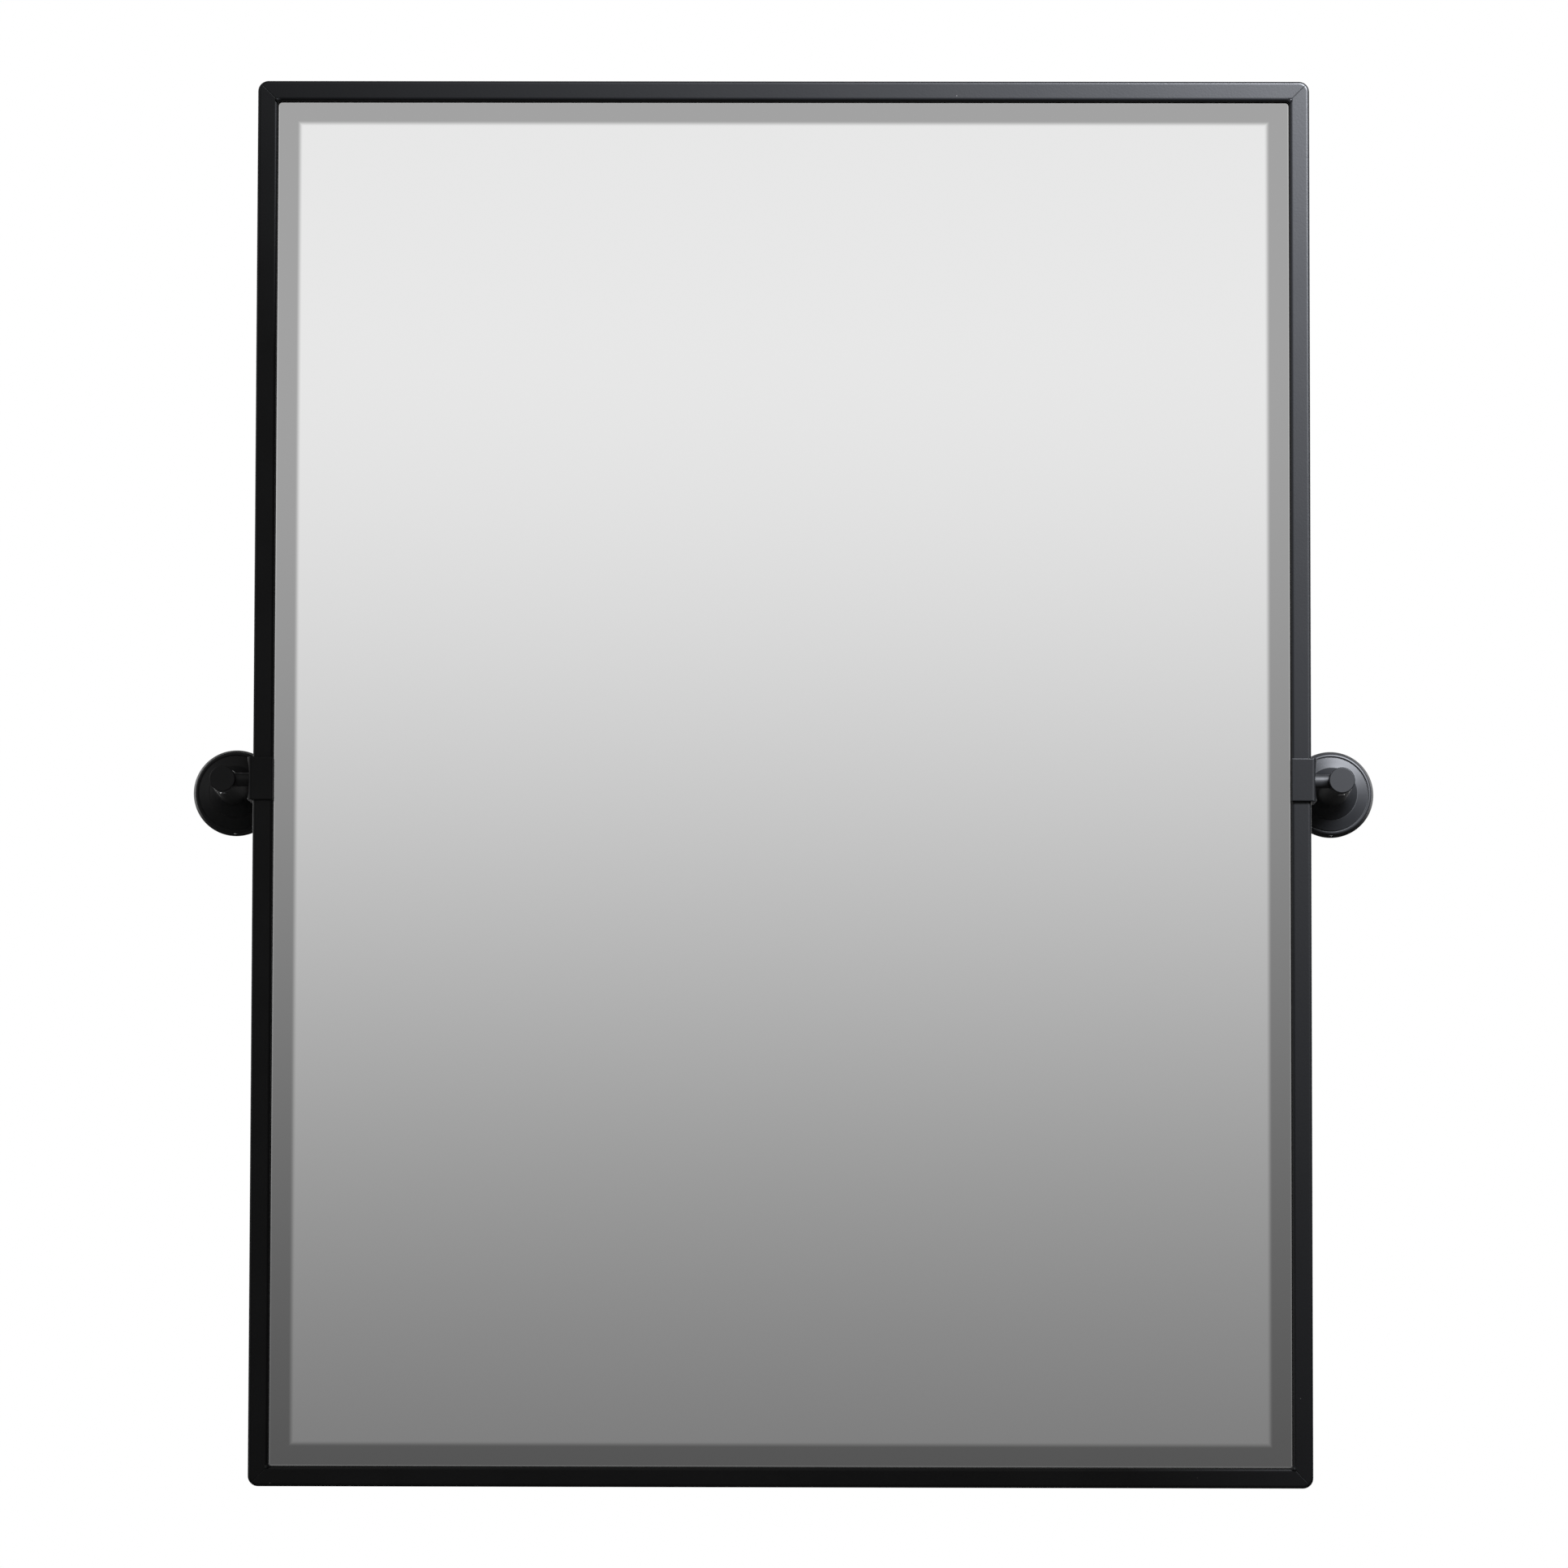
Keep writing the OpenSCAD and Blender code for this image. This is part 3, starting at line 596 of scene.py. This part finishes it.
def black_casting():
    material, tree, shader = new_finish("black_casting", Specular_IOR_Level=CASTING_SPECULAR)
    along, across = distance_from_axis(tree, "Y", Vector((post_axis_x, 0, pivot.z)))
    rings = place_group(tree, turning_marks, Along=along, Across=across, Pitch_mm=0.45)
    grain = place_group(tree, powder_grain, Peel_Size_mm=0.8, Grain_Size_mm=0.22)
    edges = place_group(tree, rubbed_edges, Width_mm=0.25, Amount=0.5)
    coat = tint(tree, rings["Streak"], CASTING_DARK, CASTING_LIGHT)
    plug(tree, shader["Base Color"], tint(tree, edges["Mask"], coat, CASTING_EDGE))
    satin = fade(tree, rings["Streak"], *CASTING_ROUGHNESS)
    plug(tree, shader["Roughness"], fade(tree, edges["Mask"], satin, CASTING_EDGE_ROUGHNESS))
    height = fade(tree, RINGS_IN_CASTING, grain["Height"], rings["Height"])
    plug(tree, shader["Normal"], bump(tree, height, 0.25, 0.05, Normal=edges["Normal"]))
    return material


keep_finish(black_casting)

# %% [markdown]
# ### Black steel
# The arms and the small black screws are blackened steel. It is duller than the powder coat, and
# shows the rings of the lathe round the arm's own axis.

# %% Make the black steel
STEEL_SPECULAR = 0.29
STEEL_ROUGHNESS = (0.56, 0.51)


def black_steel():
    material, tree, shader = new_finish("black_steel", Specular_IOR_Level=STEEL_SPECULAR)
    along, across = distance_from_axis(tree, "X", pivot)
    rings = place_group(tree, turning_marks, Along=along, Across=across, Pitch_mm=0.3)
    edges = place_group(tree, rubbed_edges, Width_mm=0.25, Amount=0.6)
    dark = tint(tree, rings["Streak"], CASTING_DARK, CASTING_LIGHT)
    plug(tree, shader["Base Color"], tint(tree, edges["Mask"], dark, CASTING_EDGE))
    plug(tree, shader["Roughness"], fade(tree, rings["Streak"], *STEEL_ROUGHNESS))
    plug(tree, shader["Normal"], bump(tree, rings["Height"], 0.3, 0.02, Normal=edges["Normal"]))
    return material


keep_finish(black_steel)

# %% [markdown]
# ### Silvered glass
# A mirror's bevel is a wedge, so it shows another part of the room, and here it reads as an even
# band, darker than the middle. Bending its reflections by its true slope would put a step in
# the gradient on each side, so the finish keeps the front face's normal all over and darkens the
# band instead: the darker band is a painted reflection. The band starts softly, over three
# millimetres, because the grinding wheel leaves the line between flat and bevel a little rounded.
# The seamed arris is a lighter line, a painted highlight.

# %% Make the silvered glass
BEVEL_WIDTH = 12.7 * MM
BEVEL_SOFT = 3.4 * MM
# Painted reflection: how dark the bevel band is, as a share of the face
BEVEL_PAINTED_REFLECTION = 0.45
# Painted highlight: how light the arris line is
ARRIS_PAINTED_HIGHLIGHT = 0.60
ARRIS_ROUGHNESS = 0.12
SEAM_WIDTH = 0.55 * MM
CUT_GLASS = (0.10, 0.16, 0.145, 1)
BACK_PAINT = (0.07, 0.072, 0.075, 1)


def grey(level):
    """A grey colour of one level."""
    return (level, level, level, 1)


def turn_normal(tree, normal, source, target):
    """Turns a normal from one space into another. The spaces are WORLD and OBJECT."""
    settings = {"vector_type": "NORMAL", "convert_from": source, "convert_to": target}
    return add(tree, "VectorTransform", settings, Vector=normal).outputs[0]


def silvered_glass():
    material, tree, shader = new_finish("silvered_glass", Metallic=1.0)
    at = add(tree, "SeparateXYZ", Vector=place_on(tree)).outputs
    from_side = calc(tree, "SUBTRACT", glass_high.x, calc(tree, "ABSOLUTE", at["X"]))
    from_end = calc(tree, "SUBTRACT", glass_high.z, calc(tree, "ABSOLUTE", at["Z"]))
    inwards = calc(tree, "MINIMUM", from_side, from_end)
    bevel = soft_step(tree, inwards, BEVEL_WIDTH + BEVEL_SOFT / 2, BEVEL_WIDTH - BEVEL_SOFT / 2)
    arris = soft_step(tree, inwards, SEAM_WIDTH * 1.3, SEAM_WIDTH * 0.7)
    # The darker bevel band is a painted reflection, and the lighter arris line a painted highlight.
    face = tint(tree, bevel, grey(GLASS_TINT), grey(GLASS_TINT * BEVEL_PAINTED_REFLECTION))
    painted_bevel_and_arris = tint(tree, arris, face, grey(ARRIS_PAINTED_HIGHLIGHT))

    true_normal = add(tree, "NewGeometry").outputs["Normal"]
    turned = turn_normal(tree, true_normal, "WORLD", "OBJECT")
    facing = add(tree, "SeparateXYZ", Vector=turned).outputs["Y"]
    front = soft_step(tree, facing, -0.5, -0.6)
    back = soft_step(tree, facing, 0.5, 0.6)
    cut_or_paint = tint(tree, back, CUT_GLASS, BACK_PAINT)
    plug(tree, shader["Base Color"], tint(tree, front, cut_or_paint, painted_bevel_and_arris))
    polish = fade(tree, arris, 0.0, ARRIS_ROUGHNESS)
    plug(tree, shader["Roughness"], fade(tree, front, 0.5, polish))

    flat_front = turn_normal(tree, (0, -1, 0), "OBJECT", "WORLD")
    chosen = add(tree, "Mix", {"data_type": "VECTOR"})
    for index, value in ((0, front), (4, true_normal), (5, flat_front)):
        plug(tree, chosen.inputs[index], value)
    plug(tree, shader["Normal"], chosen.outputs[1])
    return material


keep_finish(silvered_glass)

# %% [markdown]
# ### Backing board and tape
# The board is fibreboard with a black face. Its cut edges and drilled holes show the brown
# fibre, so the finish tells faces from edges by the direction that they point in. The tape is a
# white closed-cell foam with fine pores.

# %% Make the board and the tape
BOARD_DARK = (0.022, 0.020, 0.019, 1)
BOARD_LIGHT = (0.045, 0.041, 0.038, 1)
BOARD_FLECK = (0.095, 0.080, 0.066, 1)
FIBRE_DARK = (0.20, 0.125, 0.070, 1)
FIBRE_LIGHT = (0.36, 0.245, 0.145, 1)
FOAM_DARK = (0.56, 0.56, 0.54, 1)
FOAM_LIGHT = (0.82, 0.82, 0.79, 1)


def backing_board():
    material, tree, shader = new_finish("backing_board", Specular_IOR_Level=0.25)
    place = place_on(tree)
    fibres = add(tree, "TexNoise", Vector=place, Scale=900.0, Detail=5.0).outputs[0]
    clouds = add(tree, "TexNoise", Vector=place, Scale=22.0, Detail=4.0).outputs[0]
    normal = add(tree, "NewGeometry").outputs["Normal"]
    facing = add(tree, "SeparateXYZ", Vector=normal).outputs["Y"]
    face = soft_step(tree, calc(tree, "ABSOLUTE", facing), 0.7, 0.8)
    edges = place_group(tree, rubbed_edges, Width_mm=0.6, Amount=0.9)
    black = tint(tree, clouds, BOARD_DARK, BOARD_LIGHT)
    flecked = tint(tree, soft_step(tree, fibres, 0.62, 0.72), black, BOARD_FLECK)
    brown = tint(tree, fibres, FIBRE_DARK, FIBRE_LIGHT)
    shown = calc(tree, "MULTIPLY", face, calc(tree, "SUBTRACT", 1.0, edges["Mask"]))
    plug(tree, shader["Base Color"], tint(tree, shown, brown, flecked))
    plug(tree, shader["Roughness"], fade(tree, clouds, 0.62, 0.78))
    plug(tree, shader["Normal"], bump(tree, fibres, 0.4, 0.06))
    return material


def foam_tape():
    material, tree, shader = new_finish("foam_tape", Specular_IOR_Level=0.3)
    pores = add(tree, "TexVoronoi", Vector=place_on(tree), Scale=2600.0).outputs["Distance"]
    plug(tree, shader["Base Color"], tint(tree, pores, FOAM_DARK, FOAM_LIGHT))
    plug(tree, shader["Roughness"], fade(tree, pores, 0.9, 0.75))
    plug(tree, shader["Normal"], bump(tree, pores, 0.6, 0.15))
    return material


keep_finish(backing_board)
keep_finish(foam_tape)

# %% [markdown]
# ### Zinc plated steel
# The screws, nuts and wall plates are zinc plated. Fresh zinc is a cool grey metal with a faint
# spangle of crystals, and it yellows in patches. The spangle is a Voronoi texture, whose cells
# each have their own tone.

# %% Make the zinc plated steel
ZINC_DARK = (0.56, 0.58, 0.60, 1)
ZINC_LIGHT = (0.70, 0.71, 0.72, 1)
ZINC_AGED = (0.62, 0.59, 0.50, 1)
ZINC_EDGE = (0.82, 0.82, 0.82, 1)


def zinc_steel():
    material, tree, shader = new_finish("zinc_steel", Metallic=1.0)
    place = place_on(tree)
    crystals = add(tree, "TexVoronoi", Vector=place, Scale=700.0).outputs["Color"]
    tone = add(tree, "SeparateColor", Color=crystals).outputs[0]
    patches = add(tree, "TexNoise", Vector=place, Scale=90.0, Detail=3.0).outputs[0]
    edges = place_group(tree, rubbed_edges, Width_mm=0.3, Patch_Size_mm=4.0, Amount=0.7)
    cool = tint(tree, tone, ZINC_DARK, ZINC_LIGHT)
    aged = tint(tree, soft_step(tree, patches, 0.45, 0.75), cool, ZINC_AGED)
    plug(tree, shader["Base Color"], tint(tree, edges["Mask"], aged, ZINC_EDGE))
    plug(tree, shader["Roughness"], fade(tree, tone, 0.38, 0.26))
    plug(tree, shader["Normal"], bump(tree, patches, 0.2, 0.05))
    return material


keep_finish(zinc_steel)

# %% [markdown]
# ### Rubber and nylon
# The bumpers are soft matt rubber that gathers dust. The bushes are moulded nylon, smoother,
# with the fine spark texture of the mould.

# %% Make the rubber and the nylon
RUBBER_DARK = (0.016, 0.016, 0.016, 1)
RUBBER_LIGHT = (0.028, 0.028, 0.027, 1)
NYLON_DARK = (0.018, 0.018, 0.019, 1)
NYLON_LIGHT = (0.026, 0.026, 0.027, 1)
NYLON_EDGE = (0.07, 0.07, 0.07, 1)


def bumper_rubber():
    material, tree, shader = new_finish("bumper_rubber", Specular_IOR_Level=0.3)
    grain = place_group(tree, powder_grain, Peel_Size_mm=0.5, Grain_Size_mm=0.15)
    specks = place_group(tree, dust_specks, Spacing_mm=2.5, Speck_Size_mm=0.15)
    rubber = tint(tree, grain["Drift"], RUBBER_DARK, RUBBER_LIGHT)
    plug(tree, shader["Base Color"], tint(tree, specks["Mask"], rubber, DUST))
    plug(tree, shader["Roughness"], fade(tree, grain["Drift"], 0.72, 0.82))
    plug(tree, shader["Normal"], bump(tree, grain["Height"], 0.4, 0.04))
    return material


def bush_plastic():
    material, tree, shader = new_finish("bush_plastic", Specular_IOR_Level=0.4)
    grain = place_group(tree, powder_grain, Peel_Size_mm=0.35, Grain_Size_mm=0.1, Grain_Share=0.6)
    edges = place_group(tree, rubbed_edges, Width_mm=0.25, Amount=0.6)
    nylon = tint(tree, grain["Drift"], NYLON_DARK, NYLON_LIGHT)
    plug(tree, shader["Base Color"], tint(tree, edges["Mask"], nylon, NYLON_EDGE))
    plug(tree, shader["Roughness"], fade(tree, grain["Drift"], 0.42, 0.5))
    plug(tree, shader["Normal"], bump(tree, grain["Height"], 0.3, 0.03))
    return material


keep_finish(bumper_rubber)
keep_finish(bush_plastic)

# %% [markdown]
# ## Dress the solids
# The record says which finish each solid has, by the name of its material slot. The finishes
# are kept under the same names, so one loop dresses all the solids.

# %% Give each solid its finish
for part in frame["record"]["subparts"]:
    piece = nodes[part["node"]]
    piece.data.materials.clear()
    piece.data.materials.append(finishes[part["material_slot"]])

# %% [markdown]
# ## Beads of weld and sealant
# The four tubes meet in mitres that are welded and dressed smooth, and a small fillet of weld is
# left in each inner corner. The ten lugs behind the board have a bead each, laid in a row of
# overlapping drops. Sealant closes the gap round the board, and its black is painted shade for the
# shadowed wall behind. All of them are sections swept along a line, so one helper skins a row of
# sections into a closed mesh, and the shapes differ only in the sections that they hand to it.

# %% Skin rows of sections into one piece
def swept_piece(name, rows_of_sections):
    """One object from several sweeps. A sweep is a row of sections, and a section is a ring."""
    mesh = bmesh.new()
    for sections in rows_of_sections:
        rings = [[mesh.verts.new(point) for point in section] for section in sections]
        for near, far in zip(rings, rings[1:]):
            for i in range(len(near)):
                after = (i + 1) % len(near)
                mesh.faces.new((near[i], near[after], far[after], far[i])).smooth = True
        mesh.faces.new(rings[0])
        mesh.faces.new(reversed(rings[-1]))
    bmesh.ops.recalc_face_normals(mesh, faces=mesh.faces)
    data = bpy.data.meshes.new(name)
    mesh.to_mesh(data)
    mesh.free()
    piece = bpy.data.objects.new(name, data)
    scene.collection.objects.link(piece)
    return piece

# %% [markdown]
# Where two faces meet in a corner, the section of a bead is a quarter of a disc: it bulges out
# when the bead is laid on, and is hollowed in when it is dressed. Its inner point lies a hair
# below both faces, so that the bead never floats.

# %% Shape the section of a bead in a corner
BEAD_SINK = 0.05 * MM      # how far a bead reaches into the metal, so that no gap shows
RING_STEPS = 6             # faces round a bead's section
BACK = Vector((0, 1, 0))


def quarter_ring(corner, across, back, radius, hollow):
    """A quarter of a disc in the corner between two faces, bulging out or hollowed in."""
    ring = [corner - across * BEAD_SINK - back * BEAD_SINK]
    for step in range(RING_STEPS + 1):
        angle = math.pi / 2 * step / RING_STEPS
        if hollow:
            far_across, far_back = 1 - math.sin(angle), 1 - math.cos(angle)
        else:
            far_across, far_back = math.cos(angle), math.sin(angle)
        ring.append(corner + across * radius * far_across + back * radius * far_back)
    return ring


print("sections of", RING_STEPS + 2, "points")

# %% [markdown]
# The fillet in a corner of the frame follows the rounded lip of the tubes: towards the front the
# two walls curve away from each other, and the fillet moves out with them. It stops just short of
# the glass, and starts again behind the board.

# %% Fill the inner corners of the frame
TUBE_ROUND = 1.8 * MM      # radius of the tubes' long edges
FILLET = 2.2 * MM
LIP_STEPS = 7
PANE_GAP = 0.1 * MM        # how far from the glass and the board a fillet stops


def corner_section(side, end, depth):
    """The fillet's section at one depth behind the front of the tubes."""
    from_face = min(depth, tube_back - tube_front - depth)
    short = max(TUBE_ROUND - from_face, 0.0)
    away = TUBE_ROUND - math.sqrt(TUBE_ROUND ** 2 - short ** 2)
    corner_x, corner_z = side * (window_half_w + away), end * (window_half_h + away)
    corner = Vector((corner_x, tube_front + depth, corner_z))
    return quarter_ring(corner, Vector((-side, 0, 0)), Vector((0, 0, -end)), FILLET, hollow=True)


def lip_depths():
    """Depths along the rounded lip, closer together where it curves most."""
    turns = [math.pi / 2 * (step + 0.25) / LIP_STEPS for step in range(LIP_STEPS)]
    return [TUBE_ROUND * (1 - math.cos(turn)) for turn in turns]


tube_depth = tube_back - tube_front
front_depths = lip_depths() + [glass_low.y - tube_front - PANE_GAP]
rear_depths = [board_high.y - tube_front + PANE_GAP]
rear_depths += [tube_depth - depth for depth in reversed(lip_depths())]
fillets = [
    [corner_section(side, end, depth) for depth in depths]
    for side in (-1, 1) for end in (-1, 1) for depths in (front_depths, rear_depths)
]
corner_welds = swept_piece("corner_welds", fillets)
print("corner fillets:", len(fillets), "of", round(FILLET / MM, 1), "mm")

# %% [markdown]
# The lugs are one node with ten separate solids in it. Walking from vertex to vertex along the
# edges finds the solids one by one, and the box of each says where its bead goes: into the corner
# between the lug's back and the wall of the tube that it touches.

# %% Find the lugs
def boxes_of_solids(data):
    """The lowest and highest corner of each connected solid in a mesh, in a fixed order."""
    mesh = bmesh.new()
    mesh.from_mesh(data)
    bmesh.ops.remove_doubles(mesh, verts=mesh.verts, dist=0.001 * MM)
    left = set(mesh.verts)
    boxes = []
    while left:
        reached = [left.pop()]
        for vert in reached:
            others = {edge.other_vert(vert) for edge in vert.link_edges} & left
            left -= others
            reached.extend(others)
        corners_of = list(zip(*(vert.co for vert in reached)))
        boxes.append((Vector([min(c) for c in corners_of]), Vector([max(c) for c in corners_of])))
    mesh.free()
    return sorted(boxes, key=lambda box: tuple(round(c, 4) for c in box[0]))


lug_boxes = boxes_of_solids(nodes["board_lugs"].data)
print("lugs:", len(lug_boxes))

# %% [markdown]
# A welder lays a short bead as a row of drops, each half over the one before. So the section
# swells and shrinks along the bead, and thins out at both ends.

# %% Lay a bead behind each lug
BEAD_LEG = 1.7 * MM
BEAD_DROP = 1.6 * MM       # from one drop of weld to the next
BEAD_RIPPLE = 0.16         # how far the bead sinks between two drops, as a share of its leg
BEAD_STEP = 0.2 * MM
BEAD_END = 1.2 * MM        # the length over which a bead thins out at its ends
INNER_WALL = {0: window_half_w, 2: window_half_h}    # the tubes' inner walls, across X and Z


def wall_corner(across, side, depth, run):
    """A point on a tube's inner wall, at a depth and a distance along the tube."""
    corner = Vector((0, depth, 0))
    corner[across] = side * INNER_WALL[across]
    corner[2 - across] = run
    return corner


def inwards_from(across, side):
    """The direction from a tube's inner wall towards the middle of the mirror."""
    inwards = Vector((0, 0, 0))
    inwards[across] = -side
    return inwards


def bead_sections(low, high):
    """The sections of one bead, which swells with each drop and thins out at both ends."""
    on_stile = max(abs(low.x), abs(high.x)) > window_half_w - MM
    across, along = (0, 2) if on_stile else (2, 0)
    side = math.copysign(1.0, low[across])
    length = high[along] - low[along]
    steps = round(length / BEAD_STEP)
    sections = []
    for step in range(1, steps):
        run = length * step / steps
        drops = 1 - BEAD_RIPPLE * abs(math.cos(math.pi * run / BEAD_DROP))
        ends = min(1.0, min(run, length - run) / BEAD_END)
        radius = BEAD_LEG * drops * math.sqrt(ends * (2 - ends))
        corner = wall_corner(across, side, high.y, low[along] + run)
        inwards = inwards_from(across, side)
        sections.append(quarter_ring(corner, inwards, BACK, radius, hollow=False))
    return sections


lug_welds = swept_piece("lug_welds", [bead_sections(low, high) for low, high in lug_boxes])
for weld in (corner_welds, lug_welds):
    weld.data.materials.append(finishes["black_powder_coat"])
    lit_by_box.objects.link(weld)
    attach(weld, "mirror")
print("lugs with a bead:", len(lug_boxes))

# %% [markdown]
# The board is a little smaller than the frame, and no light comes through the gap under it: the
# wall behind the mirror lies in its shadow. A thin bead of black sealant closes the gap all round,
# and its black is painted shade that stands in for that shadow. It runs from lug to lug, in the
# corner between the board's back and the tubes, and wavers a little, as a hand lays it. It is as
# matt and black as the bumpers, so it shares their finish.

# %% Close the gap round the board with a black bead of painted shade
SHADE_SEAL_OVERLAP = 0.9 * MM    # how far the bead reaches over the board's back
SHADE_SEAL_WAVER = 0.07          # how much its width wavers, as a share
SHADE_SEAL_WAVE = 11.0 * MM      # the length of a short wave, over one radian
SHADE_SEAL_SLOWER = 2.7          # how many times longer the slow wave is that the short one rides on
SHADE_SEAL_STEP = 3.0 * MM


def shade_seal_sections(across, side, start, end):
    """The sections of one bead along a side of the board, from start to end."""
    radius = INNER_WALL[across] - board_high[across] + SHADE_SEAL_OVERLAP
    inwards = inwards_from(across, side)
    steps = max(2, round((end - start) / SHADE_SEAL_STEP))
    sections = []
    for step in range(steps + 1):
        run = start + (end - start) * step / steps
        wave = run / SHADE_SEAL_WAVE
        waver = 1 + SHADE_SEAL_WAVER * math.sin(wave) * math.sin(wave / SHADE_SEAL_SLOWER)
        corner = wall_corner(across, side, board_high.y, run)
        sections.append(quarter_ring(corner, inwards, BACK, radius * waver, hollow=False))
    return sections


def shade_seal_runs(across, side):
    """The free stretches between the lugs on one side of the board."""
    along = 2 - across
    reach = INNER_WALL[along] - FILLET / 2
    stops = sorted(
        (low[along], high[along]) for low, high in lug_boxes
        if max(side * low[across], side * high[across]) > INNER_WALL[across] - MM
    )
    starts = [-reach] + [high for low, high in stops]
    ends = [low for low, high in stops] + [reach]
    return list(zip(starts, ends))


shade_seal_rows = [
    shade_seal_sections(across, side, start, end)
    for across in (0, 2) for side in (-1, 1) for start, end in shade_seal_runs(across, side)
]
# The bead's black is painted shade for the shadowed wall seen through the gap.
shade_seal = swept_piece("shade_seal", shade_seal_rows)
shade_seal.data.materials.append(finishes["bumper_rubber"])
lit_by_box.objects.link(shade_seal)
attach(shade_seal, "mirror")
print("stretches of seal:", len(shade_seal_rows))
